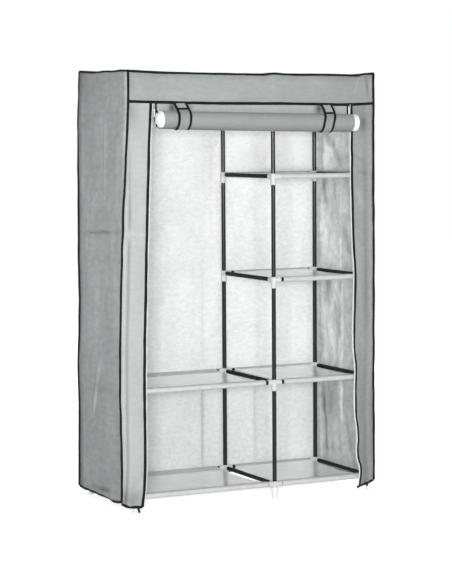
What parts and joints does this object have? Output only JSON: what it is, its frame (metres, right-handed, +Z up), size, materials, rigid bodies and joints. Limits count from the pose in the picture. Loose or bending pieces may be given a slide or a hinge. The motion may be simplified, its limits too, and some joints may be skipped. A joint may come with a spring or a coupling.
{
  "type": "fabric wardrobe",
  "caption": "Portable fabric wardrobe: steel-tube frame with plastic connectors, cloth shelves, hanging rail, lift-off cloth cover and roll-up door held by straps.",
  "frame": {"origin": "on the floor, under the middle of the object's box, the rolled-up door included", "axes": "+Z up, -Y out of the opening, +X to the right as seen from the front"},
  "size_m": [1.0656, 0.5239, 1.6142],
  "materials": {
    "tube": "satin powder coat on thin steel tube",
    "tube_and_connector": "satin powder coat on thin steel tube, with white moulded plastic connectors and feet",
    "shelf_cloth": "thin pale grey cloth with a faint gloss",
    "cover_cloth": "thin matt grey cloth, white on the inside",
    "binding": "black woven edge binding",
    "zip": "white moulded"
  },
  "bodies": {
    "frame": {"hanging_rail": "tube", "post_back_centre": "tube_and_connector", "post_back_left": "tube_and_connector", "post_back_right": "tube_and_connector", "post_front_centre": "tube_and_connector", "post_front_left": "tube_and_connector", "post_front_right": "tube_and_connector", "shelf_left_bottom": "shelf_cloth", "shelf_left_low": "shelf_cloth", "shelf_right_bottom": "shelf_cloth", "shelf_right_high": "shelf_cloth", "shelf_right_low": "shelf_cloth", "shelf_right_middle": "shelf_cloth", "tube_back_left_bottom": "tube", "tube_back_left_low": "tube", "tube_back_left_top": "tube", "tube_back_right_bottom": "tube", "tube_back_right_high": "tube", "tube_back_right_low": "tube", "tube_back_right_middle": "tube", "tube_back_right_top": "tube", "tube_depth_centre_bottom": "tube", "tube_depth_centre_high": "tube", "tube_depth_centre_low": "tube", "tube_depth_centre_middle": "tube", "tube_depth_centre_top": "tube", "tube_depth_left_bottom": "tube", "tube_depth_left_brace": "tube", "tube_depth_left_low": "tube", "tube_depth_left_top": "tube", "tube_depth_right_bottom": "tube", "tube_depth_right_high": "tube", "tube_depth_right_low": "tube", "tube_depth_right_middle": "tube", "tube_depth_right_top": "tube", "tube_front_left_bottom": "tube", "tube_front_left_low": "tube", "tube_front_left_top": "tube", "tube_front_right_bottom": "tube", "tube_front_right_high": "tube", "tube_front_right_low": "tube", "tube_front_right_middle": "tube", "tube_front_right_top": "tube"},
    "cover": {"cover_back": "cover_cloth", "cover_binding": "binding", "cover_header": "cover_cloth", "cover_left_side": "cover_cloth", "cover_right_side": "cover_cloth", "cover_top": "cover_cloth", "door_curtain": "cover_cloth", "strap_left": "cover_cloth", "strap_right": "cover_cloth", "strip_left": "cover_cloth", "strip_right": "cover_cloth", "zip_slider_left": "zip", "zip_slider_right": "zip"},
    "door_roll_body": {"door_roll": "cover_cloth"},
    "pull_left": {"zip_pull_left": "zip"},
    "pull_right": {"zip_pull_right": "zip"}
  },
  "joints": [
    {"name": "cover_lift", "type": "slide", "parent": "frame", "child": "cover", "axis": [0, 0, 1], "range_m": [0, 1.65]},
    {"name": "door_lower", "type": "slide", "parent": "cover", "child": "door_roll_body", "axis": [0, 0, -1], "range_m": [0, 1.33], "deforming": ["door_curtain", "strap_left", "strap_right"]},
    {"name": "pull_left_hinge", "type": "hinge", "parent": "cover", "child": "pull_left", "pos_m": [-0.3955, -0.20287, 1.4896], "axis": [-1, 0, 0], "range_deg": [0, 100]},
    {"name": "pull_right_hinge", "type": "hinge", "parent": "cover", "child": "pull_right", "pos_m": [0.4221, -0.20287, 1.4896], "axis": [-1, 0, 0], "range_deg": [0, 100]}
  ]
}
